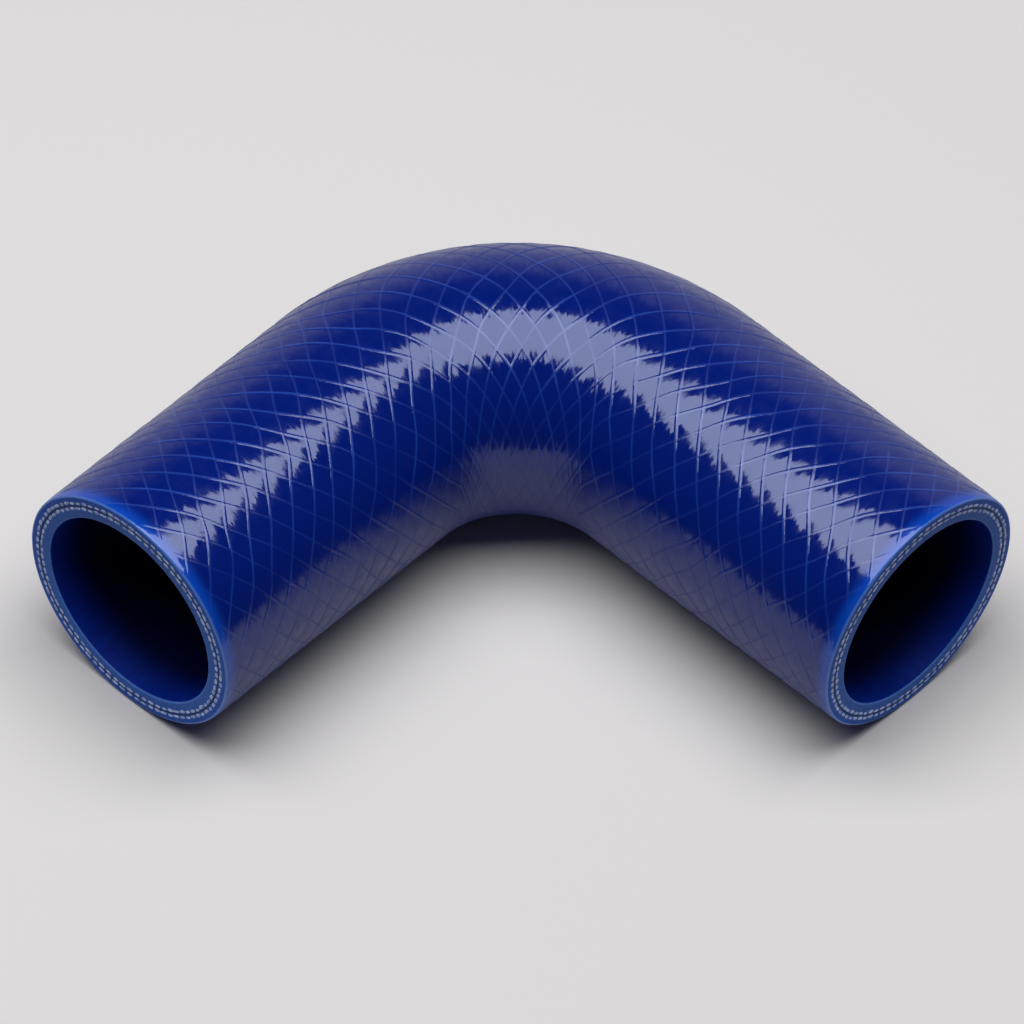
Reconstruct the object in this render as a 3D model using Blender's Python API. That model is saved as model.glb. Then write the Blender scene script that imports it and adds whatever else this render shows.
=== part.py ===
"""Silicone intake elbow: one moulded piece, a 90 degree hose bend with two equal straight legs.

The wall is modelled the way the hose is made. A flat sheet carries the course of the wrapping's
lines, along the diagonals of its grid. The sheet is rolled round the bent mandrel: out along the
cover, over one square-cut end, back down the bore and over the other end. The diamonds between
the lines are then pressed in, so that the lines stand up as ridges.

Frame: the elbow lies flat on z = 0, with its open ends facing -X and -Y, and the middle of its
footprint at the origin.
"""

from math import ceil, cos, pi, radians, sin

import bmesh
import bpy
from mathutils import Vector

# Driving dimensions, in metres
BORE_DIAMETER = 0.040            # the pipe that the elbow is clamped on
WALL = 0.005                     # liner, two fabric plies and cover, cured into one wall
LEG_REACH = 0.102                # from each cut end to the corner where the two axes meet
BEND_RADIUS = 0.040              # of the centre line
OUTER_LIP = 0.0004               # rounding of the cut end's outer edge
BORE_LIP = 0.0003                # rounding of the cut end's inner edge

# Raised lines: two families of helices that cross and leave diamonds between them
LINES_EACH_WAY = 20              # parallel lines in each family
LINE_PITCH = 0.0054              # from one line to the next, along a straight leg
BEND_STRETCH = 1.15              # how much further apart the crossings lie along the bend
LINE_HEIGHT = 0.0003             # of a line above the diamonds beside it
FOOT_WIDTH = 0.00045             # from a line's crest to the foot of its side

BORE_FACET = 0.0065              # longest facet of the bore, along the bend

BORE_RADIUS = BORE_DIAMETER / 2
OUTER_RADIUS = BORE_RADIUS + WALL
LEG_LENGTH = LEG_REACH - BEND_RADIUS
ARC_LENGTH = BEND_RADIUS * pi / 2
TOTAL_LENGTH = 2 * LEG_LENGTH + ARC_LENGTH
COLUMNS = 2 * LINES_EACH_WAY

# The corner of the two axes lies where the footprint is centred on the origin
CORNER = (LEG_REACH - OUTER_RADIUS) / 2
BEND_CENTRE = Vector((CORNER - BEND_RADIUS, CORNER - BEND_RADIUS, OUTER_RADIUS))

COLLECTION_NAME = "silicone_intake_elbow"
NODE_NAME = "hose_elbow"
WELD_DISTANCE = 0.000001
CREST_ANGLE = radians(25)


def clear_scene():
    """Remove whatever objects the file holds."""
    for existing in list(bpy.data.objects):
        bpy.data.objects.remove(existing, do_unlink=True)


def silicone_material():
    """Glossy royal blue silicone rubber."""
    material = bpy.data.materials.new("blue_silicone_rubber")
    material.use_nodes = True
    surface = material.node_tree.nodes["Principled BSDF"]
    surface.inputs["Base Color"].default_value = (0.004, 0.022, 0.235, 1.0)
    surface.inputs["Roughness"].default_value = 0.22
    surface.inputs["Metallic"].default_value = 0.0
    return material


def centre_line(along):
    """Point of the centre line and its outward side, a distance along from the end facing -X."""
    turn = min(max((along - LEG_LENGTH) / BEND_RADIUS, 0.0), pi / 2)
    outward = Vector((sin(turn), cos(turn), 0.0))
    forward = Vector((cos(turn), -sin(turn), 0.0))
    straight = min(along - LEG_LENGTH, 0.0) + max(along - LEG_LENGTH - ARC_LENGTH, 0.0)
    return BEND_CENTRE + outward * BEND_RADIUS + forward * straight, outward


def on_tube(along, column, radius):
    """Point of the wall; the columns count round the tube from the top towards the outside."""
    middle, outward = centre_line(along)
    round_angle = 2 * pi * column / COLUMNS
    return middle + (outward * sin(round_angle) + Vector((0, 0, cos(round_angle)))) * radius


def crossing_rows():
    """Distances along the centre line of the rows of crossings, from one cut end to the other."""
    leg_rows = round(LEG_LENGTH / (LINE_PITCH / 2))
    bend_rows = round(ARC_LENGTH / (LINE_PITCH / 2 * BEND_STRETCH))
    rows = [LEG_LENGTH * row / leg_rows for row in range(leg_rows)]
    rows += [LEG_LENGTH + ARC_LENGTH * row / bend_rows for row in range(bend_rows)]
    rows += [LEG_LENGTH + ARC_LENGTH + LEG_LENGTH * row / leg_rows for row in range(leg_rows + 1)]
    rows[0] = OUTER_LIP
    rows[-1] = TOTAL_LENGTH - OUTER_LIP
    return rows


def wall_profile():
    """Rings of the wall in order round its section: distance along, radius, and crossing or not."""
    bend_facets = ceil(ARC_LENGTH / BORE_FACET)
    bore = [TOTAL_LENGTH - BORE_LIP]
    bore += [LEG_LENGTH + ARC_LENGTH * facet / bend_facets for facet in range(bend_facets, -1, -1)]
    bore += [BORE_LIP]
    rings = [(0.0, OUTER_RADIUS - OUTER_LIP, False)]
    rings += [(along, OUTER_RADIUS, True) for along in crossing_rows()]
    rings += [(TOTAL_LENGTH, OUTER_RADIUS - OUTER_LIP, False)]
    rings += [(TOTAL_LENGTH, BORE_RADIUS + BORE_LIP, False)]
    rings += [(along, BORE_RADIUS, False) for along in bore]
    rings += [(0.0, BORE_RADIUS + BORE_LIP, False)]
    return rings


def draw_lines(mesh, places, profile):
    """Split the sheet's grid along the diagonals that the raised lines follow."""
    for face in list(mesh.faces):
        rings = {places[corner][0] for corner in face.verts}
        if all(profile[ring % len(profile)][2] for ring in rings):
            ends = [corner for corner in face.verts if sum(places[corner]) % 2 == 0]
            bmesh.utils.face_split(face, ends[0], ends[1])


def roll_sheet(mesh, places, profile):
    """Roll the flat sheet round the mandrel and join its edges."""
    for corner, (ring, column) in places.items():
        along, radius, _ = profile[ring % len(profile)]
        corner.co = on_tube(along, column, radius)
    bmesh.ops.remove_doubles(mesh, verts=mesh.verts, dist=WELD_DISTANCE)
    bmesh.ops.recalc_face_normals(mesh, faces=mesh.faces)


def whole_diamonds(mesh, places, profile):
    """Make each diamond one face between its four crossings; half diamonds stay at the cut ends."""
    middles = []
    for corner in mesh.verts:
        ring, column = places[corner]
        beside = profile[(ring - 1) % len(profile)], profile[(ring + 1) % len(profile)]
        if (ring + column) % 2 and beside[0][2] and beside[1][2]:
            middles.append(corner)
    crossings = {frozenset(edge.other_vert(middle) for edge in middle.link_edges) for middle in middles}
    bmesh.ops.dissolve_verts(mesh, verts=middles)
    return [face for face in mesh.faces if frozenset(face.verts) in crossings]


def press_diamonds(mesh, places, diamonds):
    """Press each diamond in beside its lines; its corner at the far crossing stays at their height."""
    bmesh.ops.inset_individual(
        mesh, faces=diamonds, thickness=FOOT_WIDTH, depth=-LINE_HEIGHT, use_even_offset=True)
    lifted = {}
    for diamond in diamonds:
        crossing_of = {}
        for inner in diamond.verts:
            spoke = next(edge for edge in inner.link_edges if edge not in diamond.edges)
            crossing_of[inner] = spoke.other_vert(inner)
        far = max(crossing_of, key=lambda inner: places[crossing_of[inner]][0])
        lifted[far] = crossing_of[far]
    bmesh.ops.weld_verts(mesh, targetmap=lifted)


def hose_elbow(collection):
    """The elbow itself: one sheet, rolled and closed on itself into a single wall."""
    profile = wall_profile()
    mesh = bmesh.new()
    bmesh.ops.create_grid(mesh, x_segments=len(profile), y_segments=COLUMNS, size=1)
    places = {
        corner: (
            round((corner.co.x + 1) / 2 * len(profile)),
            round((corner.co.y + 1) / 2 * COLUMNS),
        )
        for corner in mesh.verts
    }
    draw_lines(mesh, places, profile)
    roll_sheet(mesh, places, profile)
    press_diamonds(mesh, places, whole_diamonds(mesh, places, profile))
    data = bpy.data.meshes.new(NODE_NAME)
    mesh.to_mesh(data)
    mesh.free()
    data.shade_smooth()
    data.set_sharp_from_angle(angle=CREST_ANGLE)
    data.materials.append(silicone_material())
    elbow = bpy.data.objects.new(NODE_NAME, data)
    collection.objects.link(elbow)
    return elbow


def build():
    clear_scene()
    collection = bpy.data.collections.new(COLLECTION_NAME)
    bpy.context.scene.collection.children.link(collection)
    hose_elbow(collection)


build()
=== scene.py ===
"""Looks of the silicone intake elbow, laid out as an add-on and run as a script.

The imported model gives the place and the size. The wall here replaces the plain faceted one: its
mesh follows the two families of raised lines that the wrapping leaves, so that each line is real
geometry, and the cut ends show the rings of yarn ends of the two fabric plies.
"""

from math import cos, pi, radians, sin

import bmesh
import bpy
import numpy as np
from bpy.props import FloatProperty, FloatVectorProperty, IntProperty, PointerProperty
from bpy.types import Operator, Panel, PropertyGroup
from mathutils import Matrix, Vector


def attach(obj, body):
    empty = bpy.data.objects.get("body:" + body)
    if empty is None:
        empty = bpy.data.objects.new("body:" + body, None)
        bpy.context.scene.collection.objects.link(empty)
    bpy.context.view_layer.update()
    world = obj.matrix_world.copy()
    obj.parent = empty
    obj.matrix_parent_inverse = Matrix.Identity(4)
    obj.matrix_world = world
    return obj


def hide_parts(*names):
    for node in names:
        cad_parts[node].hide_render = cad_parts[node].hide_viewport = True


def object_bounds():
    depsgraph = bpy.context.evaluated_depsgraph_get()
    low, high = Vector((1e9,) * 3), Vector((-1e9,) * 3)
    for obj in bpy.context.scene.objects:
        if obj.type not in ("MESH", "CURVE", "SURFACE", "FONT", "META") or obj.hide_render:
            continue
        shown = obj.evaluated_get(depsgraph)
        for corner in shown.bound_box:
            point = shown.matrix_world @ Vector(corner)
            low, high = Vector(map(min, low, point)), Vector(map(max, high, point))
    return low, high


bl_info = {
    "name": "Silicone Intake Elbow",
    "version": (1, 0, 0),
    "blender": (4, 5, 0),
    "location": "View3D > Sidebar > Elbow",
    "description": "Models the wall, the yarn ends and the studio of a silicone hose elbow",
    "category": "Object",
}

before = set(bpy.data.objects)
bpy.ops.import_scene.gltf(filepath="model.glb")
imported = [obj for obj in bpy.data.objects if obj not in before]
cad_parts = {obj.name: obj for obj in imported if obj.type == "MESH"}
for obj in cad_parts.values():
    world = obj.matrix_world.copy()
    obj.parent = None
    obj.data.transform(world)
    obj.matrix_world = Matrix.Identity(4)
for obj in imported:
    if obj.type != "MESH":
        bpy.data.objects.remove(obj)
CAD_LOW, CAD_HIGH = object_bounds()

NODE = "hose_elbow"
BODY = "root"
MILLIMETRE = 0.001

# Level directions of the photo's view: to its right, and away from the camera
RIGHT = Vector((1, -1, 0)).normalized()
AWAY = Vector((1, 1, 0)).normalized()

# Steps of the wall's mesh
FLOOR_STEPS = 3                  # across the flat of a diamond, between the feet of two lines
SIDE_STEPS = 2                   # from a line's crest to its foot, and over the strip beside it
FINE = FLOOR_STEPS + 2 * SIDE_STEPS
FOOT_HOLD = 0.00012              # strip beside a line's foot that keeps the floor's own slope
LIP_STEPS = 3
LEG_STEPS = 6
BEND_STEPS = 28
FACE_RINGS = 7

# Parts of the wall, kept with each face
COVER, CUT_FACE, BORE = 0, 1, 2


def linear(hex_colour):
    """Turn an sRGB hex colour into linear RGBA."""
    channels = [int(hex_colour[start:start + 2], 16) / 255 for start in (1, 3, 5)]
    return [c / 12.92 if c <= 0.04045 else ((c + 0.055) / 1.055) ** 2.4 for c in channels] + [1.0]


def smoothstep(share):
    """Ease from 0 to 1."""
    share = np.clip(share, 0.0, 1.0)
    return share * share * (3 - 2 * share)


def add_node(tree, kind, inputs=(), **settings):
    """Add one node with its settings; each input, by name or number, gets a value or a link."""
    node = tree.nodes.new(kind)
    for name, value in settings.items():
        setattr(node, name, value)
    for key, value in dict(inputs).items():
        if isinstance(value, bpy.types.NodeSocket):
            tree.links.new(value, node.inputs[key])
        else:
            node.inputs[key].default_value = value
    return node


class ElbowSizes(PropertyGroup):
    """Sizes of the hose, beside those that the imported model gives."""

    bore: FloatProperty(
        name="Bore", description="Inside diameter of the hose",
        default=0.040, min=0.01, unit="LENGTH")
    bend_radius: FloatProperty(
        name="Bend Radius", description="Radius of the bend's centre line",
        default=0.040, min=0.02, unit="LENGTH")
    outer_lip: FloatProperty(
        name="Outer Lip", description="Rounding of the cut end's outer edge",
        default=0.0004, min=0.0001, unit="LENGTH")
    bore_lip: FloatProperty(
        name="Bore Lip", description="Rounding of the cut end's inner edge",
        default=0.0003, min=0.0001, unit="LENGTH")
    face_recess: FloatProperty(
        name="Face Recess", description="How far the cut face lies behind the ends of its yarns",
        default=0.00005, min=0.0, unit="LENGTH")


class RaisedLines(PropertyGroup):
    """The two families of raised lines on the cover."""

    each_way: IntProperty(
        name="Lines Each Way", description="Parallel lines in each of the two families",
        default=20, min=4)
    pitch: FloatProperty(
        name="Pitch", description="From one line to the next along a straight leg",
        default=0.0054, min=0.001, unit="LENGTH")
    bend_stretch: FloatProperty(
        name="Bend Stretch", description="How much further apart the crossings lie in the bend",
        default=1.15, min=0.5, subtype="FACTOR")
    height: FloatProperty(
        name="Height", description="Height of a line above the cover",
        default=0.00016, min=0.0, unit="LENGTH")
    crown: FloatProperty(
        name="Crown", description="How far a diamond's middle swells above the feet of its lines",
        default=0.0001, min=0.0, unit="LENGTH")
    width: FloatProperty(
        name="Width", description="Width of a line from foot to foot",
        default=0.0006, min=0.0002, unit="LENGTH")
    wander: FloatProperty(
        name="Wander", description="How far a line strays from its even course",
        default=0.0003, min=0.0, unit="LENGTH")
    # Painted glint: how much of the painted glint the fainter family of lines keeps
    faint: FloatProperty(
        name="Faint", description="How bare the fainter family is, beside the barer one",
        default=0.35, min=0.0, max=1.0, subtype="FACTOR")
    fade: FloatProperty(
        name="Fade", description="Length at each cut end over which the lines die out",
        default=0.0022, min=0.0, unit="LENGTH")


class PlyYarns(PropertyGroup):
    """The cut yarns of the two fabric plies, which show as specks on the end faces."""

    inner_share: FloatProperty(
        name="Inner Ply", description="Place of the inner ply, as a share of the wall from the bore",
        default=0.42, min=0.1, max=0.9, subtype="FACTOR")
    outer_share: FloatProperty(
        name="Outer Ply", description="Place of the outer ply, as a share of the wall from the bore",
        default=0.65, min=0.1, max=0.9, subtype="FACTOR")
    spacing: FloatProperty(
        name="Spacing", description="From one yarn to the next round the ring",
        default=0.0018, min=0.0003, unit="LENGTH")
    length: FloatProperty(
        name="Length", description="Length of a speck round the ring",
        default=0.0018, min=0.0001, unit="LENGTH")
    width: FloatProperty(
        name="Width", description="Width of a speck across the wall",
        default=0.0007, min=0.0001, unit="LENGTH")
    seed: IntProperty(
        name="Seed", description="Choice of the yarns' uneven sizes and places", default=4)


class ElbowColours(PropertyGroup):
    """Colours of the hose's surfaces."""

    cover: FloatVectorProperty(
        name="Cover", description="Blue silicone of the cover", subtype="COLOR",
        size=4, default=linear("#00186E"))
    # Painted glow: the brighter blue that stands in for light coming through the rubber beside a cut
    # end
    edge: FloatVectorProperty(
        name="Edge", description="Cover beside a cut end, where light comes through",
        subtype="COLOR", size=4, default=linear("#0644B4"))
    line: FloatVectorProperty(
        name="Line", description="Crest of a raised line", subtype="COLOR",
        size=4, default=linear("#133FA0"))
    cut: FloatVectorProperty(
        name="Cut Liner", description="Cut silicone inside the plies",
        subtype="COLOR", size=4, default=linear("#2A5CB4"))
    # Painted glow, in part: the cover's rubber is clearer than the liner's, and its brighter blue
    # stands in for light coming through it
    cut_cover: FloatVectorProperty(
        name="Cut Cover", description="Cut silicone outside the plies, where light comes through",
        subtype="COLOR", size=4, default=linear("#1450B4"))
    # Painted shade: a near-black colour for the liner deep inside the bore
    bore: FloatVectorProperty(
        name="Bore", description="Liner deep inside the bore", subtype="COLOR",
        size=4, default=linear("#000A38"))
    # Painted glow: a brighter blue near the mouth, standing in for light coming through the rubber
    mouth: FloatVectorProperty(
        name="Mouth", description="Liner near the mouth, where light comes through",
        subtype="COLOR", size=4, default=linear("#032488"))
    # Painted highlight: a pale colour on the rounded rims of the cut ends, where the lips catch the
    # light
    rim: FloatVectorProperty(
        name="Rim", description="Rounded rim of a cut end, rubbed pale", subtype="COLOR",
        size=4, default=linear("#4A78CC"))
    yarn: FloatVectorProperty(
        name="Yarn", description="Cut end of a polyester yarn", subtype="COLOR",
        size=4, default=linear("#C0D0F8"))
    floor: FloatVectorProperty(
        name="Floor", description="Pale paper under the hose", subtype="COLOR",
        size=4, default=linear("#D6D4D4"))


class ElbowStage(PropertyGroup):
    """Camera and studio."""

    azimuth: FloatProperty(
        name="Azimuth", description="Camera's turn round the hose; 0 looks along +Y",
        default=radians(-49.17), subtype="ANGLE")
    elevation: FloatProperty(
        name="Elevation", description="Camera's height above the horizon",
        default=radians(50.16), subtype="ANGLE")
    roll: FloatProperty(
        name="Roll", description="Camera's tilt about its own line of sight",
        default=radians(3.33), subtype="ANGLE")
    distance: FloatProperty(
        name="Distance", description="Camera's distance from the point it looks at",
        default=3.659, min=0.5, unit="LENGTH")
    lens: FloatProperty(
        name="Lens", description="Focal length in millimetres on a 36 mm sensor",
        default=703.0, min=10.0)
    softbox_radiance: FloatProperty(
        name="Softbox", description="Brightness of the softbox, where 1 is white paper",
        default=4.75, min=0.0)


class ElbowShape:
    """The hose's centre line and the course of its raised lines, worked out from the sizes."""

    def __init__(self, scene):
        sizes, lines = scene.elbow_sizes, scene.elbow_lines
        self.outer = (CAD_HIGH.z - CAD_LOW.z) / 2
        self.bore = sizes.bore / 2
        self.bend = sizes.bend_radius
        self.leg = CAD_HIGH.x - CAD_LOW.x - self.outer - self.bend
        self.arc = self.bend * pi / 2
        self.total = 2 * self.leg + self.arc
        corner = CAD_HIGH.x - self.outer
        self.centre = np.array((corner - self.bend, corner - self.bend, CAD_LOW.z + self.outer))
        self.lines = lines
        self.columns = 2 * lines.each_way
        leg_rows = round(self.leg / (lines.pitch / 2))
        bend_rows = round(self.arc / (lines.pitch / 2 * lines.bend_stretch))
        self.rows = np.concatenate((
            self.leg * np.arange(leg_rows) / leg_rows,
            self.leg + self.arc * np.arange(bend_rows) / bend_rows,
            self.leg + self.arc + self.leg * np.arange(leg_rows + 1) / leg_rows,
        ))
        self.rows[0] = sizes.outer_lip
        self.rows[-1] = self.total - sizes.outer_lip

    def on_tube(self, along, angle, radius):
        """Points of the wall; the angle is 0 on top and a quarter turn outside the bend."""
        turn = np.clip((along - self.leg) / self.bend, 0.0, pi / 2)
        outward = np.stack((np.sin(turn), np.cos(turn), np.zeros_like(turn)), -1)
        forward = np.stack((np.cos(turn), -np.sin(turn), np.zeros_like(turn)), -1)
        straight = np.minimum(along - self.leg, 0) + np.maximum(along - self.leg - self.arc, 0)
        side = outward * np.sin(angle)[:, None] + np.array((0, 0, 1)) * np.cos(angle)[:, None]
        middle = self.centre + outward * self.bend + forward * straight[:, None]
        return middle + side * np.asarray(radius).reshape(-1, 1)

    def angle_of(self, column):
        """Angle round the tube of a column of crossings."""
        return 2 * pi * column / self.columns

    def spacing(self, along, column):
        """Distance between neighbouring lines, square to them."""
        in_bend = (along > self.leg) & (along < self.leg + self.arc)
        around = self.outer * 2 * pi / self.columns
        local = 1 + self.outer / self.bend * np.sin(self.angle_of(column))
        step = self.lines.pitch / 2 * np.where(in_bend, self.lines.bend_stretch * local, 1.0)
        return 2 * around * step / np.hypot(around, step)


def cover_lattice(shape, lines):
    """Cover as a mesh along the lines: places of its vertices, faces, and distances to the lines."""
    last = FINE * (len(shape.rows) - 1)
    turn = FINE * shape.columns
    index = {}
    faces = []

    def vertex(first, second):
        key = (first + second, (first - second) % turn)
        return index.setdefault(key, len(index))

    for row in range(-1, len(shape.rows) - 1):
        for column in range(row % 2, shape.columns, 2):
            start_first = FINE * (row + column) // 2
            start_second = FINE * (row - column) // 2
            for step_first in range(FINE):
                for step_second in range(FINE):
                    first = start_first + step_first
                    second = start_second + step_second
                    corners = [(first, second), (first + 1, second),
                               (first + 1, second + 1), (first, second + 1)]
                    kept = [c for c in corners if 0 <= sum(c) <= last]
                    if len(kept) >= 3:
                        faces.append([vertex(*c) for c in kept])

    keys = np.array(list(index), float)
    first, second = (keys[:, 0] + keys[:, 1]) / 2, (keys[:, 0] - keys[:, 1]) / 2
    row_numbers = np.arange(len(shape.rows))
    rough_along = np.interp(keys[:, 0] / FINE, row_numbers, shape.rows)
    spacing = shape.spacing(rough_along, keys[:, 1] / FINE)
    widest_foot = 0.2
    foot = np.minimum(lines.width / 2 / spacing, widest_foot)
    held = foot + FOOT_HOLD / spacing

    def placed(number):
        """Line coordinate of a mesh step: crest, foot, the strip beside it, then the floor."""
        cell, step = np.divmod(number, FINE)
        mirrored = np.minimum(step, FINE - step)
        flat = held + (1 - 2 * held) * (mirrored - SIDE_STEPS) / FLOOR_STEPS
        share = np.where(mirrored < SIDE_STEPS, foot * mirrored, flat)
        return cell + np.where(step > FINE / 2, 1 - share, share), share * spacing

    first_place, to_first = placed(first)
    second_place, to_second = placed(second)
    along = np.interp(first_place + second_place, row_numbers, shape.rows)
    column = first_place - second_place
    across_first, across_second = first_place % 1, second_place % 1
    # Nothing on the lines, and 1 in the middle of a diamond
    swell = 16 * across_first * (1 - across_first) * across_second * (1 - across_second)
    from_end = np.minimum(along, shape.total - along)
    swell *= lines.crown * smoothstep(from_end / lines.pitch)
    return keys, faces, along, column, to_first, to_second, swell


def wandering(shape, along, angle, amount):
    """Small slow strays of the wrapping along and round the hose, none at the cut ends."""
    held_length = 0.012
    hold = smoothstep(along / held_length) * smoothstep((shape.total - along) / held_length)
    # Each wave's radians per metre along the hose, its turns round it and its phase
    waves = ((310, 2, 0.4), (190, 3, 2.1), (530, 1, 4.0), (420, 5, 1.2))
    stray_along = sum(np.sin(k * along + n * angle + p) for k, n, p in waves) / 2
    stray_round = sum(np.cos(0.8 * k * along - n * angle + 2 * p) for k, n, p in waves) / 2
    return along + hold * amount * stray_along, angle + hold * amount / shape.outer * stray_round


def end_rings(sizes, shape, skin):
    """Rings from the cover's edge round the lip, over the cut face and round the bore's lip."""
    lip, bore_lip, face = sizes.outer_lip, sizes.bore_lip, sizes.face_recess
    rings = []
    for step in range(1, LIP_STEPS + 1):
        turn = pi / 2 * step / LIP_STEPS
        rings.append((lip - (lip - face) * sin(turn), skin - lip + lip * cos(turn), COVER))
    outer_edge, inner_edge = skin - lip, shape.bore + bore_lip
    for step in range(1, FACE_RINGS + 1):
        rings.append((face, outer_edge + (inner_edge - outer_edge) * step / FACE_RINGS, CUT_FACE))
    for step in range(1, LIP_STEPS + 1):
        turn = pi / 2 * step / LIP_STEPS
        rings.append((face + bore_lip * (1 - cos(turn)), inner_edge - bore_lip * sin(turn), BORE))
    return rings


def wall_stations(sizes, shape, skin):
    """Rings from one edge of the cover to the other: place, radius, part and share of the way."""
    rings = end_rings(sizes, shape, skin)
    tube = [shape.leg * step / LEG_STEPS for step in range(1, LEG_STEPS)]
    tube += [shape.leg + shape.arc * step / BEND_STEPS for step in range(BEND_STEPS + 1)]
    tube += [shape.leg + shape.arc + shape.leg * step / LEG_STEPS for step in range(1, LEG_STEPS)]
    stations = [(place, radius, part, 0.0) for place, radius, part in rings]
    stations += [(place, shape.bore, BORE, place / shape.total) for place in tube]
    parts_after = [part for _, _, part in rings[1:]] + [BORE]
    stations += [
        (shape.total - place, radius, part, 1.0)
        for (place, radius, _), part in zip(reversed(rings), reversed(parts_after))
    ]
    return stations


def build_wall(scene):
    """The whole wall as one closed mesh with what its surfaces need to know about themselves."""
    sizes, lines = scene.elbow_sizes, scene.elbow_lines
    shape = ElbowShape(scene)
    skin = shape.outer - lines.height
    keys, faces, along, column, to_first, to_second, swell = cover_lattice(shape, lines)
    parts = [COVER] * len(faces)
    radius = skin + swell

    def edge_of(row):
        found = np.where(keys[:, 0] == row)[0]
        return found[np.argsort(keys[found, 1])]

    near = edge_of(0)
    far = edge_of(keys[:, 0].max())
    near_columns, far_columns = column[near], column[far]

    def join_rings(first, second, part):
        for here in range(len(near)):
            after = (here + 1) % len(near)
            faces.append([first[here], first[after], second[after], second[here]])
            parts.append(part)

    all_along, all_columns, all_radius = [along], [column], [radius]
    previous = near
    count = len(along)
    for place, ring_radius, part, blend in wall_stations(sizes, shape, skin):
        ring = np.arange(count, count + len(near))
        count += len(near)
        all_along.append(np.full(len(near), place))
        all_columns.append(near_columns + (far_columns - near_columns) * blend)
        all_radius.append(np.full(len(near), ring_radius))
        join_rings(previous, ring, part)
        previous = ring
    join_rings(previous, far, COVER)

    along = np.concatenate(all_along)
    radius = np.concatenate(all_radius)
    angle = shape.angle_of(np.concatenate(all_columns))
    along, angle = wandering(shape, along, angle, lines.wander)
    mesh = bpy.data.meshes.new("elbow_wall")
    mesh.from_pydata(shape.on_tube(along, angle, radius).tolist(), [], faces)
    extra = len(along) - len(to_first)
    beyond = np.full(extra, shape.outer)
    store(mesh, "to_first_line", "FLOAT", np.concatenate((to_first, beyond)))
    store(mesh, "to_second_line", "FLOAT", np.concatenate((to_second, beyond)))
    store(mesh, "from_end", "FLOAT", np.minimum(along, shape.total - along))
    store(mesh, "ring_radius", "FLOAT", radius)
    unbent = np.stack((along, radius * np.sin(angle), radius * np.cos(angle)), -1)
    store(mesh, "unbent", "FLOAT_VECTOR", unbent)
    small_turn = 0.0001
    ahead = shape.on_tube(along, angle + small_turn, radius) - shape.on_tube(along, angle, radius)
    store(mesh, "round_way", "FLOAT_VECTOR", ahead / (small_turn * radius[:, None]))
    store(mesh, "wall_part", "INT", np.array(parts), domain="FACE")
    return mesh


def store(mesh, name, kind, values, domain="POINT"):
    """Keep one value for each vertex or face under a name."""
    attribute = mesh.attributes.new(name, kind, domain)
    field = "vector" if kind == "FLOAT_VECTOR" else "value"
    attribute.data.foreach_set(field, np.asarray(values).ravel())


def named_inputs(tree, values):
    """Give a node tree its geometry sockets and an input for each value; returns the input node."""
    tree.interface.new_socket("Geometry", in_out="INPUT", socket_type="NodeSocketGeometry")
    for name, value in values.items():
        kind = "NodeSocketInt" if isinstance(value, int) else "NodeSocketFloat"
        socket = tree.interface.new_socket(name, in_out="INPUT", socket_type=kind)
        socket.default_value = value
    tree.interface.new_socket("Geometry", in_out="OUTPUT", socket_type="NodeSocketGeometry")
    return tree.nodes.new("NodeGroupInput")


def apply_tree(piece, tree, values):
    """Run a node tree on a piece with these input values and keep the result as a plain mesh."""
    modifier = piece.modifiers.new(tree.name, "NODES")
    modifier.node_group = tree
    identifiers = {
        item.name: item.identifier
        for item in tree.interface.items_tree
        if item.item_type == "SOCKET" and item.in_out == "INPUT"
    }
    for name, value in values.items():
        modifier[identifiers[name]] = value
    evaluated = piece.evaluated_get(bpy.context.evaluated_depsgraph_get())
    result = bpy.data.meshes.new_from_object(evaluated)
    piece.modifiers.clear()
    piece.data = result
    result.name = piece.name


def painted_glint_crests(tree, given, unbent, crests):
    """Crests of both families, weighted by a painted glint: on each leg one family is painted
    brighter inside the bend, the other outside.
    """
    # Sideways from the centre line, where one family gives way to the other
    inner_side, outer_side = -0.011, -0.003
    place = add_node(tree, "ShaderNodeSeparateXYZ", {0: unbent.outputs["Attribute"]})
    far_leg = add_node(tree, "ShaderNodeMapRange", {
        "Value": place.outputs["X"], "From Min": given.outputs["Bend Start"],
        "From Max": given.outputs["Bend End"]}, interpolation_type="SMOOTHSTEP")
    near_leg = add_node(tree, "ShaderNodeMath", {0: 1.0, 1: far_leg.outputs["Result"]},
                        operation="SUBTRACT")
    first_share = add_node(tree, "ShaderNodeMapRange", {
        "Value": place.outputs["Y"], "From Min": inner_side, "From Max": outer_side,
        "To Min": far_leg.outputs["Result"], "To Max": near_leg.outputs[0]},
        interpolation_type="SMOOTHSTEP")
    second_share = add_node(tree, "ShaderNodeMath", {0: 1.0, 1: first_share.outputs["Result"]},
                            operation="SUBTRACT")
    painted_light_share = []
    for crest, share in zip(crests, (first_share, second_share)):
        glint_share = add_node(tree, "ShaderNodeMapRange", {
            "Value": share.outputs[0], "To Min": given.outputs["Faint"]})
        painted_light_share.append(add_node(tree, "ShaderNodeMath", {
            0: crest.outputs["Result"], 1: glint_share.outputs["Result"]}, operation="MULTIPLY"))
    painted_glint_crest = add_node(tree, "ShaderNodeMath", {
        0: painted_light_share[0].outputs[0], 1: painted_light_share[1].outputs[0]}, operation="MAXIMUM")
    return painted_glint_crest.outputs[0]


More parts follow.
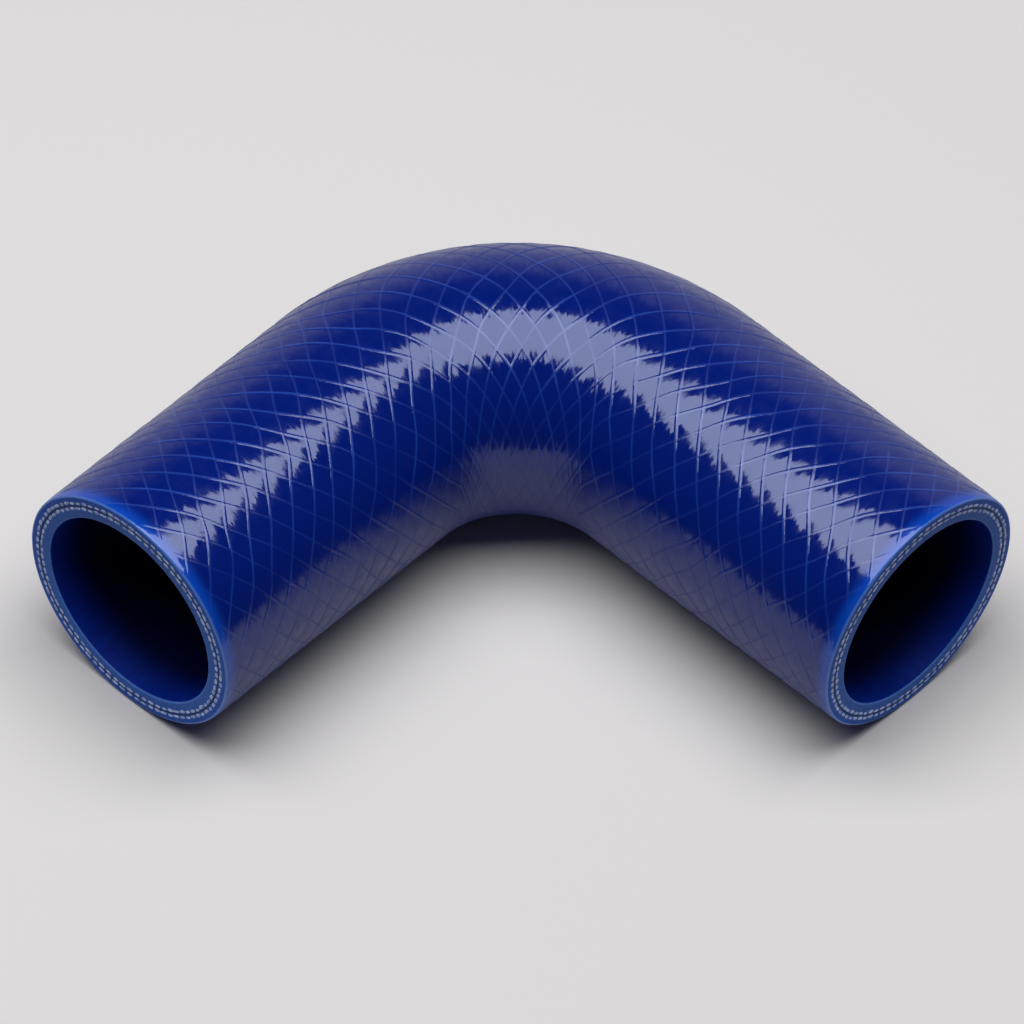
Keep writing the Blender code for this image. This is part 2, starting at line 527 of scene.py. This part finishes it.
def raised_lines_tree(materials, values):
    """Node tree that raises the cover along both families of lines and gives each part its finish."""
    stretches_per_metre = 90.0
    tree = bpy.data.node_groups.new("raised_lines", "GeometryNodeTree")
    given = named_inputs(tree, values)
    half = add_node(tree, "ShaderNodeMath", {0: given.outputs["Line Width"], 1: 0.5},
                    operation="MULTIPLY")
    crests = []
    for name in ("to_first_line", "to_second_line"):
        distance = add_node(tree, "GeometryNodeInputNamedAttribute", {"Name": name},
                            data_type="FLOAT")
        crests.append(add_node(tree, "ShaderNodeMapRange", {
            "Value": distance.outputs["Attribute"], "From Max": half.outputs[0],
            "To Min": 1.0, "To Max": 0.0}, interpolation_type="SMOOTHSTEP"))
    crest = add_node(tree, "ShaderNodeMath", {
        0: crests[0].outputs["Result"], 1: crests[1].outputs["Result"]}, operation="MAXIMUM")
    unbent = add_node(tree, "GeometryNodeInputNamedAttribute", {"Name": "unbent"},
                      data_type="FLOAT_VECTOR")
    uneven = add_node(tree, "ShaderNodeTexNoise", {
        "Vector": unbent.outputs["Attribute"], "W": given.outputs["Seed"],
        "Scale": stretches_per_metre, "Detail": 1.0}, noise_dimensions="4D")
    strength = add_node(tree, "ShaderNodeMapRange", {
        "Value": uneven.outputs[0], "From Min": 0.35, "From Max": 0.65, "To Min": 0.55})
    from_end = add_node(tree, "GeometryNodeInputNamedAttribute", {"Name": "from_end"},
                        data_type="FLOAT")
    fade = add_node(tree, "ShaderNodeMapRange", {
        "Value": from_end.outputs["Attribute"], "From Min": given.outputs["Fade Start"],
        "From Max": given.outputs["Fade End"]}, interpolation_type="SMOOTHSTEP")
    faded = add_node(tree, "ShaderNodeMath", {0: crest.outputs[0], 1: fade.outputs["Result"]},
                     operation="MULTIPLY")
    kept = add_node(tree, "GeometryNodeStoreNamedAttribute", {
        "Geometry": given.outputs["Geometry"], "Name": "line_crest", "Value": faded.outputs[0]},
        data_type="FLOAT", domain="POINT")
    # Painted glint: a crest share that favours one family of lines on each flank, as light would
    # catch them
    painted_glint_crest = painted_glint_crests(tree, given, unbent, crests)
    bare_faded = add_node(tree, "ShaderNodeMath", {
        0: painted_glint_crest, 1: fade.outputs["Result"]}, operation="MULTIPLY")
    marked = add_node(tree, "GeometryNodeStoreNamedAttribute", {
        "Geometry": kept.outputs["Geometry"], "Name": "line_painted_glint",
        "Value": bare_faded.outputs[0]}, data_type="FLOAT", domain="POINT")
    height = add_node(tree, "ShaderNodeMath", {
        0: faded.outputs[0], 1: strength.outputs["Result"]}, operation="MULTIPLY")
    raised = add_node(tree, "ShaderNodeMath", {
        0: height.outputs[0], 1: given.outputs["Line Height"]}, operation="MULTIPLY")
    normal = add_node(tree, "GeometryNodeInputNormal")
    offset = add_node(tree, "ShaderNodeVectorMath", {
        0: normal.outputs["Normal"], "Scale": raised.outputs[0]}, operation="SCALE")
    moved = add_node(tree, "GeometryNodeSetPosition", {
        "Geometry": marked.outputs["Geometry"], "Offset": offset.outputs["Vector"]})
    plain = add_node(tree, "GeometryNodeRealizeInstances", {"Geometry": moved.outputs["Geometry"]})
    part = add_node(tree, "GeometryNodeInputNamedAttribute", {"Name": "wall_part"},
                    data_type="INT")
    finished = plain
    for number, material in enumerate(materials):
        chosen = add_node(tree, "FunctionNodeCompare", {
            2: part.outputs["Attribute"], 3: number}, data_type="INT", operation="EQUAL")
        finished = add_node(tree, "GeometryNodeSetMaterial", {
            "Geometry": finished.outputs["Geometry"], "Selection": chosen.outputs[0],
            "Material": material})
    add_node(tree, "NodeGroupOutput", {"Geometry": finished.outputs["Geometry"]})
    return tree


def ply_yarns_tree(material, rings, faces, values):
    """Node tree that sets a ring of cut yarn ends for each ply on each cut face."""
    tree = bpy.data.node_groups.new("ply_yarns", "GeometryNodeTree")
    given = named_inputs(tree, values)
    size = add_node(tree, "ShaderNodeCombineXYZ", {
        "X": given.outputs["Yarn Width"], "Y": given.outputs["Yarn Length"],
        "Z": given.outputs["Yarn Height"]})
    ball = add_node(tree, "GeometryNodeMeshUVSphere", {"Segments": 8, "Rings": 5, "Radius": 0.5})
    yarn = add_node(tree, "GeometryNodeTransform", {
        "Geometry": ball.outputs["Mesh"], "Scale": size.outputs[0]})
    joined = add_node(tree, "GeometryNodeJoinGeometry")
    reach, seed_step = 0.0001, 7.0
    smallest, largest = (0.8, 0.65, 0.8), (1.2, 1.1, 1.0)
    for number, (radius, count) in enumerate(rings):
        circle = add_node(tree, "GeometryNodeMeshCircle", {"Vertices": count, "Radius": radius})
        index = add_node(tree, "GeometryNodeInputIndex")
        angle = add_node(tree, "ShaderNodeMath", {0: index.outputs[0], 1: 2 * pi / count},
                         operation="MULTIPLY")
        turned = add_node(tree, "ShaderNodeCombineXYZ", {"Z": angle.outputs[0]})
        seed = add_node(tree, "ShaderNodeMath", {
            0: given.outputs["Seed"], 1: seed_step * number}, operation="ADD")
        stray = add_node(tree, "FunctionNodeRandomValue", {
            "Min": (-reach, -reach, 0.0), "Max": (reach, reach, 0.0),
            "Seed": seed.outputs[0]}, data_type="FLOAT_VECTOR")
        uneven = add_node(tree, "FunctionNodeRandomValue", {
            "Min": smallest, "Max": largest, "ID": index.outputs[0],
            "Seed": seed.outputs[0]}, data_type="FLOAT_VECTOR")
        strayed = add_node(tree, "GeometryNodeSetPosition", {
            "Geometry": circle.outputs["Mesh"], "Offset": stray.outputs["Value"]})
        placed = add_node(tree, "GeometryNodeInstanceOnPoints", {
            "Points": strayed.outputs["Geometry"], "Instance": yarn.outputs["Geometry"],
            "Rotation": turned.outputs[0], "Scale": uneven.outputs["Value"]})
        for place, rotation in faces:
            on_face = add_node(tree, "GeometryNodeTransform", {
                "Geometry": placed.outputs["Instances"], "Translation": place,
                "Rotation": rotation})
            tree.links.new(on_face.outputs["Geometry"], joined.inputs["Geometry"])
    plain = add_node(tree, "GeometryNodeRealizeInstances", {
        "Geometry": joined.outputs["Geometry"]})
    smooth = add_node(tree, "GeometryNodeSetShadeSmooth", {"Geometry": plain.outputs["Geometry"]})
    finished = add_node(tree, "GeometryNodeSetMaterial", {
        "Geometry": smooth.outputs["Geometry"], "Material": material})
    add_node(tree, "NodeGroupOutput", {"Geometry": finished.outputs["Geometry"]})
    return tree


def new_material(name):
    """A new node material; returns it, its tree and its surface node."""
    material = bpy.data.materials.new(name)
    material.use_nodes = True
    tree = material.node_tree
    return material, tree, tree.nodes["Principled BSDF"]


def near_end(tree, start, end, inner, outer, most=1.0):
    """Colour that turns from the outer one at a cut end to the inner one, over this stretch."""
    from_end = add_node(tree, "ShaderNodeAttribute", attribute_name="from_end")
    share = add_node(tree, "ShaderNodeMapRange", {
        "Value": from_end.outputs["Fac"], "From Min": start, "From Max": end, "To Min": most,
        "To Max": 0.0}, interpolation_type="SMOOTHSTEP")
    blend = add_node(tree, "ShaderNodeMix", {
        "Factor": share.outputs["Result"], "A": inner, "B": outer}, data_type="RGBA")
    return blend.outputs["Result"]


def patchy(tree, place, size, detail, spread, values):
    """Patches of noise of this size, and the values that they give between their two extremes."""
    noise = add_node(tree, "ShaderNodeTexNoise", {
        "Vector": place, "Scale": 1 / size, "Detail": detail})
    level = add_node(tree, "ShaderNodeMapRange", {
        "Value": noise.outputs[0], "From Min": 0.5 - spread, "From Max": 0.5 + spread,
        "To Min": values[0], "To Max": values[1]})
    return noise.outputs[0], level.outputs["Result"]


def crest_tone_and_painted_top_light(tree, unbent, facing):
    """How pale the crests of the lines are: some stretches more than others, at random, and least on
    flanks that face down, where the paleness is painted light from above.
    """
    _, wear = patchy(tree, unbent.outputs["Vector"], size=9 * MILLIMETRE, detail=1.0,
                     spread=0.15, values=(0.3, 1.0))
    # Painted light: crests facing up are paler, while those on flanks facing down keep nearly the
    # cover's colour
    painted_light_share = add_node(tree, "ShaderNodeMapRange", {
        "Value": facing.outputs["Z"], "From Min": 0.1, "From Max": 0.8, "To Min": 0.2})
    crest_tone_and_painted_light = add_node(tree, "ShaderNodeMath", {
        0: wear, 1: painted_light_share.outputs["Result"]}, operation="MULTIPLY")
    return crest_tone_and_painted_light.outputs[0]


def cover_roughness(tree, unbent, facing, crest):
    """Glossy diamonds with duller patches, half glossy crests and a duller flank below."""
    crest_roughness, flank_roughness, slant_roughness = 0.26, 0.12, 0.22
    _, gloss = patchy(tree, unbent.outputs["Vector"], size=2.2 * MILLIMETRE, detail=2.0,
                      spread=0.15, values=(0.07, 0.14))
    crested = add_node(tree, "ShaderNodeMix", {
        "Factor": crest.outputs["Fac"], "A": gloss, "B": crest_roughness}, data_type="FLOAT")
    # Reflections seen at a slant are blurred by the film's fine grain
    slant = add_node(tree, "ShaderNodeLayerWeight", {"Blend": 0.5})
    blur = add_node(tree, "ShaderNodeMapRange", {
        "Value": slant.outputs["Facing"], "From Min": 0.12, "From Max": 0.5,
        "To Max": slant_roughness}, interpolation_type="SMOOTHSTEP")
    blurred = add_node(tree, "ShaderNodeMath", {
        0: crested.outputs[0], 1: blur.outputs["Result"]}, operation="ADD")
    # The flank that faces the bench is rubbed duller
    lower = add_node(tree, "ShaderNodeMapRange", {
        "Value": facing.outputs["Z"], "From Min": 0.05, "From Max": 0.6, "To Min": 1.0,
        "To Max": 0.0}, interpolation_type="SMOOTHSTEP")
    roughness = add_node(tree, "ShaderNodeMath", {
        0: lower.outputs["Result"], 1: flank_roughness, 2: blurred.outputs[0]},
        operation="MULTIPLY_ADD")
    return roughness.outputs[0]


def film_creases(tree, unbent, skin):
    """Normal tipped round the hose by creases that are narrow along it and long round it."""
    most_tip = 0.1
    round_way = add_node(tree, "ShaderNodeAttribute", attribute_name="round_way")
    drawn = add_node(tree, "ShaderNodeVectorMath", {
        0: unbent.outputs["Vector"], 1: (1 / 0.8, 1 / 2.8, 1 / 2.8)}, operation="MULTIPLY")
    creases = add_node(tree, "ShaderNodeTexNoise", {
        "Vector": drawn.outputs["Vector"], "Scale": 1 / MILLIMETRE, "Detail": 3.0,
        "Roughness": 0.66})
    tip = add_node(tree, "ShaderNodeMapRange", {
        "Value": creases.outputs[0], "To Min": -most_tip, "To Max": most_tip}, clamp=False)
    leaning = add_node(tree, "ShaderNodeVectorMath", {
        0: round_way.outputs["Vector"], "Scale": tip.outputs["Result"]}, operation="SCALE")
    tipped = add_node(tree, "ShaderNodeVectorMath", {
        0: skin.outputs["Normal"], 1: leaning.outputs["Vector"]}, operation="ADD")
    unit = add_node(tree, "ShaderNodeVectorMath", {0: tipped.outputs["Vector"]},
                    operation="NORMALIZE")
    return unit.outputs["Vector"]


def moulded_silicone_cover(colours):
    """Silicone rubber cured under wrapping film: glossy, with fine creases that tear reflections."""
    crest_polish = 0.4
    material, tree, surface = new_material("silicone_cured_under_wrap")
    unbent = add_node(tree, "ShaderNodeAttribute", attribute_name="unbent")
    crest = add_node(tree, "ShaderNodeAttribute", attribute_name="line_crest")
    painted_glint_line = add_node(tree, "ShaderNodeAttribute", attribute_name="line_painted_glint")
    skin = add_node(tree, "ShaderNodeNewGeometry")
    facing = add_node(tree, "ShaderNodeSeparateXYZ", {0: skin.outputs["Normal"]})
    # Painted glow: beside a cut end the colour turns a brighter, purer blue, standing in for light
    # that comes through the thin rubber
    painted_end_glow = near_end(tree, 0.0003, 0.0036, colours.cover, colours.edge, most=0.9)
    # Painted highlight: the rounded rim is given a pale colour, where its lip would catch the light
    painted_rim_highlight = near_end(tree, 0.00015, 0.0005, painted_end_glow, colours.rim)
    # The crests of the lines are paler: partly their own tone, varying at random, and partly painted
    # light, brighter on upward faces and on one family of lines at a time
    crest_tone_and_painted_light = crest_tone_and_painted_top_light(tree, unbent, facing)
    line_share = add_node(tree, "ShaderNodeMath", {0: painted_glint_line.outputs["Fac"], 1: crest_tone_and_painted_light},
                          operation="MULTIPLY")
    lined = add_node(tree, "ShaderNodeMix", {
        "Factor": line_share.outputs[0], "A": painted_rim_highlight, "B": colours.line}, data_type="RGBA")
    tree.links.new(lined.outputs["Result"], surface.inputs["Base Color"])
    roughness = cover_roughness(tree, unbent, facing, crest)
    tree.links.new(roughness, surface.inputs["Roughness"])
    # Where the film has stretched over a crest it has polished it: a second reflection on top
    polished = add_node(tree, "ShaderNodeMath", {0: crest.outputs["Fac"], 1: crest_tone_and_painted_light},
                        operation="MULTIPLY")
    polish = add_node(tree, "ShaderNodeMath", {0: polished.outputs[0], 1: crest_polish},
                      operation="MULTIPLY")
    tree.links.new(polish.outputs[0], surface.inputs["Coat Weight"])
    tree.links.new(film_creases(tree, unbent, skin), surface.inputs["Normal"])
    surface.inputs["Coat Roughness"].default_value = 0.15
    surface.inputs["Coat IOR"].default_value = 1.7
    surface.inputs["IOR"].default_value = 1.5
    surface.inputs["Specular IOR Level"].default_value = 0.7
    surface.inputs["Specular Tint"].default_value = linear("#DAE4FF")
    return material


def cut_silicone(colours, ply_line, half_width, outer_edge):
    """Silicone where a knife has gone through it: matt, with a dark seam between the two plies."""
    material, tree, surface = new_material("silicone_knife_cut")
    place = add_node(tree, "ShaderNodeAttribute", attribute_name="unbent")
    radius = add_node(tree, "ShaderNodeAttribute", attribute_name="ring_radius")
    grain, mottled = patchy(tree, place.outputs["Vector"], size=0.5 * MILLIMETRE, detail=3.0,
                            spread=0.2, values=(0.8, 1.15))
    from_seam = add_node(tree, "ShaderNodeMath", {0: radius.outputs["Fac"], 1: ply_line},
                         operation="SUBTRACT")
    apart = add_node(tree, "ShaderNodeMath", {0: from_seam.outputs[0]}, operation="ABSOLUTE")
    seam = add_node(tree, "ShaderNodeMapRange", {
        "Value": apart.outputs[0], "From Min": 0.3 * half_width, "From Max": half_width,
        "To Min": 0.12}, interpolation_type="SMOOTHSTEP")
    tone = add_node(tree, "ShaderNodeMath", {0: mottled, 1: seam.outputs["Result"]},
                    operation="MULTIPLY")
    # The cover's rubber is clearer than the liner's; its brighter blue towards the outside is in part
    # painted glow, standing in for light from outside coming through it
    outward = add_node(tree, "ShaderNodeMapRange", {
        "Value": radius.outputs["Fac"], "From Min": ply_line, "From Max": outer_edge},
        interpolation_type="SMOOTHSTEP")
    rubber = add_node(tree, "ShaderNodeMix", {
        "Factor": outward.outputs["Result"], "A": colours.cut, "B": colours.cut_cover},
        data_type="RGBA")
    shaded = add_node(tree, "ShaderNodeVectorMath", {
        0: rubber.outputs["Result"], "Scale": tone.outputs[0]}, operation="SCALE")
    tree.links.new(shaded.outputs["Vector"], surface.inputs["Base Color"])
    bump = add_node(tree, "ShaderNodeBump", {
        "Height": grain, "Distance": 0.06 * MILLIMETRE, "Strength": 0.5})
    tree.links.new(bump.outputs["Normal"], surface.inputs["Normal"])
    surface.inputs["Roughness"].default_value = 0.6
    surface.inputs["Specular IOR Level"].default_value = 0.2
    return material


def bore_liner(colours):
    """Silicone liner cured on a mandrel: half glossy, with painted shade deep in the bore and a
    painted glow near the mouth.
    """
    material, tree, surface = new_material("silicone_cured_on_mandrel")
    place = add_node(tree, "ShaderNodeAttribute", attribute_name="unbent")
    # Painted shade and glow: near-black deep inside the bore, turning within 10 mm of the mouth to a
    # brighter blue that stands in for light coming through the rubber
    painted_bore_shade_and_mouth_glow = near_end(tree, 0.0, 0.01, colours.bore, colours.mouth)
    # Painted highlight: a pale colour on the rounded rim of the bore's lip
    painted_rim_highlight = near_end(tree, 0.00015, 0.0004, painted_bore_shade_and_mouth_glow, colours.rim)
    drawn = add_node(tree, "ShaderNodeVectorMath", {
        0: place.outputs["Vector"], 1: (0.12, 1.0, 1.0)}, operation="MULTIPLY")
    draw_marks, tone = patchy(tree, drawn.outputs["Vector"], size=0.8 * MILLIMETRE, detail=2.0,
                              spread=0.2, values=(0.85, 1.1))
    shaded = add_node(tree, "ShaderNodeVectorMath", {0: painted_rim_highlight, "Scale": tone},
                      operation="SCALE")
    tree.links.new(shaded.outputs["Vector"], surface.inputs["Base Color"])
    bump = add_node(tree, "ShaderNodeBump", {
        "Height": draw_marks, "Distance": 0.03 * MILLIMETRE, "Strength": 0.4})
    tree.links.new(bump.outputs["Normal"], surface.inputs["Normal"])
    surface.inputs["Roughness"].default_value = 0.5
    surface.inputs["Specular IOR Level"].default_value = 0.08
    return material


def cut_yarn(colours):
    """Cut polyester yarn wetted by blue rubber: pale, matt and uneven from yarn to yarn."""
    material, tree, surface = new_material("polyester_yarn_cut")
    place = add_node(tree, "ShaderNodeTexCoord")
    _, dry = patchy(tree, place.outputs["Object"], size=0.9 * MILLIMETRE, detail=1.0,
                    spread=0.12, values=(0.45, 1.0))
    mixed = add_node(tree, "ShaderNodeMix", {"Factor": dry, "A": colours.cut, "B": colours.yarn},
                     data_type="RGBA")
    tree.links.new(mixed.outputs["Result"], surface.inputs["Base Color"])
    surface.inputs["Roughness"].default_value = 0.7
    return material


def pale_paper(colours):
    """Seamless pale paper with the faintest tooth."""
    material, tree, surface = new_material("matt_background_paper")
    place = add_node(tree, "ShaderNodeTexCoord")
    tooth = add_node(tree, "ShaderNodeTexNoise", {
        "Vector": place.outputs["Object"], "Scale": 1 / (1.2 * MILLIMETRE), "Detail": 2.0})
    bump = add_node(tree, "ShaderNodeBump", {
        "Height": tooth.outputs[0], "Distance": 0.02 * MILLIMETRE, "Strength": 0.2})
    tree.links.new(bump.outputs["Normal"], surface.inputs["Normal"])
    surface.inputs["Base Color"].default_value = colours.floor
    surface.inputs["Roughness"].default_value = 0.9
    surface.inputs["Specular IOR Level"].default_value = 0.1
    return material


class ELBOW_OT_wall(Operator):
    """Model the hose wall: the cover with its raised lines, the cut faces and the bore"""

    bl_idname = "elbow.wall"
    bl_label = "Hose Wall"

    def execute(self, context):
        scene = context.scene
        lines = scene.elbow_lines
        mesh = build_wall(scene)
        solid = bmesh.new()
        solid.from_mesh(mesh)
        bmesh.ops.recalc_face_normals(solid, faces=solid.faces)
        solid.to_mesh(mesh)
        solid.free()
        mesh.shade_smooth()
        wall = bpy.data.objects.new("hose_wall", mesh)
        scene.collection.objects.link(wall)
        colours, yarns = scene.elbow_colours, scene.elbow_yarns
        shape = ElbowShape(scene)
        middle_share = (yarns.inner_share + yarns.outer_share) / 2
        ply_line = shape.bore + (shape.outer - shape.bore) * middle_share
        seam_half_width = 0.22 * MILLIMETRE
        outer_edge = shape.outer - 0.8 * MILLIMETRE
        finishes = [
            moulded_silicone_cover(colours),
            cut_silicone(colours, ply_line, seam_half_width, outer_edge),
            bore_liner(colours),
        ]
        for finish in finishes:
            mesh.materials.append(finish)
        values = {
            "Line Height": lines.height,
            "Line Width": lines.width,
            "Fade Start": scene.elbow_sizes.outer_lip,
            "Fade End": lines.fade,
            "Faint": lines.faint,
            "Bend Start": shape.leg,
            "Bend End": shape.leg + shape.arc,
            "Seed": 3.0,
        }
        apply_tree(wall, raised_lines_tree(finishes, values), values)
        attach(wall, BODY)
        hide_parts(NODE)
        return {"FINISHED"}


class ELBOW_OT_yarns(Operator):
    """Set the cut ends of the two fabric plies' yarns into both end faces"""

    bl_idname = "elbow.yarns"
    bl_label = "Ply Yarns"

    def execute(self, context):
        scene = context.scene
        sizes, yarns = scene.elbow_sizes, scene.elbow_yarns
        shape = ElbowShape(scene)
        wall = shape.outer - shape.bore
        rings = []
        for share in (yarns.inner_share, yarns.outer_share):
            radius = shape.bore + wall * share
            rings.append((radius, round(2 * pi * radius / yarns.spacing)))
        axis = CAD_HIGH.x - shape.outer
        height = CAD_LOW.z + shape.outer
        face = CAD_LOW.x + sizes.face_recess
        faces = [
            ((face, axis, height), (0.0, -pi / 2, 0.0)),
            ((axis, face, height), (pi / 2, 0.0, 0.0)),
        ]
        holder = bpy.data.objects.new("ply_yarn_ends", bpy.data.meshes.new("ply_yarn_ends"))
        scene.collection.objects.link(holder)
        values = {
            "Yarn Length": yarns.length,
            "Yarn Width": yarns.width,
            "Yarn Height": 2 * sizes.face_recess,
            "Seed": yarns.seed,
        }
        tree = ply_yarns_tree(cut_yarn(scene.elbow_colours), rings, faces, values)
        apply_tree(holder, tree, values)
        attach(holder, BODY)
        return {"FINISHED"}


class ELBOW_OT_stage(Operator):
    """Lay the pale floor, hang the softbox and set the camera"""

    bl_idname = "elbow.stage"
    bl_label = "Studio"

    def execute(self, context):
        scene = context.scene
        lay_floor(scene)
        hang_softbox(scene)
        light_room(scene)
        set_camera(scene)
        return {"FINISHED"}


def lay_floor(scene):
    """Pale paper at the hose's lowest point: a little more than the picture shows, but far back."""
    side, front, back = 0.125, 0.13, 1.2
    base = Vector((0, 0, CAD_LOW.z))
    mesh = bpy.data.meshes.new("floor")
    corners = [(-side, -front), (side, -front), (side, back), (-side, back)]
    places = [base + RIGHT * across + AWAY * beyond for across, beyond in corners]
    mesh.from_pydata(places, [], [(0, 1, 2, 3)])
    mesh.materials.append(pale_paper(scene.elbow_colours))
    floor = bpy.data.objects.new("floor", mesh)
    scene.collection.objects.link(floor)


def hang_softbox(scene):
    """A wide softbox overhead, a little behind the hose and to the camera's left."""
    height, wide, deep = 1.0, 1.32, 0.71
    to_left, to_back, turned = 0.08, 0.015, 0.07
    lamp = bpy.data.lights.new("softbox", "AREA")
    lamp.shape = "RECTANGLE"
    lamp.size = wide
    lamp.size_y = deep
    # An area lamp's radiance is its power over pi times its face
    lamp.energy = pi * wide * deep * scene.elbow_stage.softbox_radiance
    softbox = bpy.data.objects.new("softbox", lamp)
    softbox.location = Vector((0, 0, height)) - RIGHT * to_left + AWAY * to_back
    softbox.rotation_euler = (0, 0, turned - pi / 4)
    scene.collection.objects.link(softbox)


def light_room(scene):
    """A dim room with a pale backdrop behind the hose; the camera sees the backdrop all round."""
    world = bpy.data.worlds.new("studio_room")
    world.use_nodes = True
    tree = world.node_tree
    tree.nodes.clear()
    scene.world = world
    dark, pale = (0.03, 0.03, 0.03, 1), (0.48, 0.48, 0.51, 1)
    seen_backdrop = linear("#DBD9DA")
    least_rise = 0.001
    # A ray's slopes: how far it goes to the right and away for each metre that it rises
    direction = add_node(tree, "ShaderNodeTexCoord")
    turned = add_node(tree, "ShaderNodeVectorRotate", {
        "Vector": direction.outputs["Generated"], "Angle": pi / 4}, rotation_type="Z_AXIS")
    parts = add_node(tree, "ShaderNodeSeparateXYZ", {0: turned.outputs["Vector"]})
    rise = add_node(tree, "ShaderNodeMath", {0: parts.outputs["Z"], 1: least_rise},
                    operation="MAXIMUM")
    across = add_node(tree, "ShaderNodeMath", {0: parts.outputs["X"], 1: rise.outputs[0]},
                      operation="DIVIDE")
    away = add_node(tree, "ShaderNodeMath", {0: parts.outputs["Y"], 1: rise.outputs[0]},
                    operation="DIVIDE")
    # The backdrop is pale low down, and on the right it is pale further up
    backdrop = add_node(tree, "ShaderNodeMapRange", {
        "Value": away.outputs[0], "From Min": 1.7, "From Max": 4.0},
        interpolation_type="SMOOTHSTEP")
    beyond = add_node(tree, "ShaderNodeMapRange", {
        "Value": away.outputs[0], "From Min": 0.85, "From Max": 2.2},
        interpolation_type="SMOOTHSTEP")
    beside = add_node(tree, "ShaderNodeMapRange", {
        "Value": across.outputs[0], "From Max": 0.6}, interpolation_type="SMOOTHSTEP")
    corner = add_node(tree, "ShaderNodeMath", {
        0: beyond.outputs["Result"], 1: beside.outputs["Result"]}, operation="MULTIPLY")
    share = add_node(tree, "ShaderNodeMath", {
        0: backdrop.outputs["Result"], 1: corner.outputs[0]}, operation="MAXIMUM")
    room = add_node(tree, "ShaderNodeMix", {"Factor": share.outputs[0], "A": dark, "B": pale},
                    data_type="RGBA")
    ray = add_node(tree, "ShaderNodeLightPath")
    seen = add_node(tree, "ShaderNodeMix", {
        "Factor": ray.outputs["Is Camera Ray"], "A": room.outputs["Result"],
        "B": seen_backdrop}, data_type="RGBA")
    back = add_node(tree, "ShaderNodeBackground", {"Color": seen.outputs["Result"]})
    add_node(tree, "ShaderNodeOutputWorld", {"Surface": back.outputs["Background"]})


def set_camera(scene):
    """The photograph's view: from above and in front of the open side of the bend."""
    stage = scene.elbow_stage
    shape = ElbowShape(scene)
    aim_left, aim_beyond = 0.00157, 0.00802
    aim = Vector(shape.centre) - RIGHT * aim_left + AWAY * aim_beyond
    level = cos(stage.elevation)
    back = Vector((sin(stage.azimuth) * level, -cos(stage.azimuth) * level, sin(stage.elevation)))
    across = (-back).cross(Vector((0, 0, 1))).normalized()
    upward = across.cross(-back)
    tilted = across * cos(stage.roll) + upward * sin(stage.roll)
    turned = upward * cos(stage.roll) - across * sin(stage.roll)
    lens = bpy.data.cameras.new("camera")
    lens.lens = stage.lens
    lens.clip_start = 0.1
    lens.clip_end = 40.0
    camera = bpy.data.objects.new("camera", lens)
    camera.matrix_world = Matrix.Translation(aim + back * stage.distance) @ Matrix(
        (tilted, turned, back)).transposed().to_4x4()
    scene.collection.objects.link(camera)
    scene.camera = camera
    scene.view_settings.view_transform = "Standard"


class ELBOW_PT_panel(Panel):
    """Sidebar panel with the elbow's steps and sizes"""

    bl_idname = "ELBOW_PT_panel"
    bl_label = "Silicone Intake Elbow"
    bl_space_type = "VIEW_3D"
    bl_region_type = "UI"
    bl_category = "Elbow"

    def draw(self, context):
        layout = self.layout
        for step in STEPS:
            layout.operator(step.bl_idname)
        for name in SETTINGS:
            box = layout.box()
            group = getattr(context.scene, name)
            for field in group.__annotations__:
                box.prop(group, field)


SETTINGS = {
    "elbow_sizes": ElbowSizes,
    "elbow_lines": RaisedLines,
    "elbow_yarns": PlyYarns,
    "elbow_colours": ElbowColours,
    "elbow_stage": ElbowStage,
}
STEPS = (ELBOW_OT_wall, ELBOW_OT_yarns, ELBOW_OT_stage)
CLASSES = (*SETTINGS.values(), *STEPS, ELBOW_PT_panel)


def register():
    for cls in CLASSES:
        bpy.utils.register_class(cls)
    for name, group in SETTINGS.items():
        setattr(bpy.types.Scene, name, PointerProperty(type=group))


def unregister():
    for name in SETTINGS:
        delattr(bpy.types.Scene, name)
    for cls in reversed(CLASSES):
        bpy.utils.unregister_class(cls)


def main():
    """Make the whole scene."""
    register()
    bpy.ops.elbow.wall()
    bpy.ops.elbow.yarns()
    bpy.ops.elbow.stage()


if __name__ == "__main__":
    main()
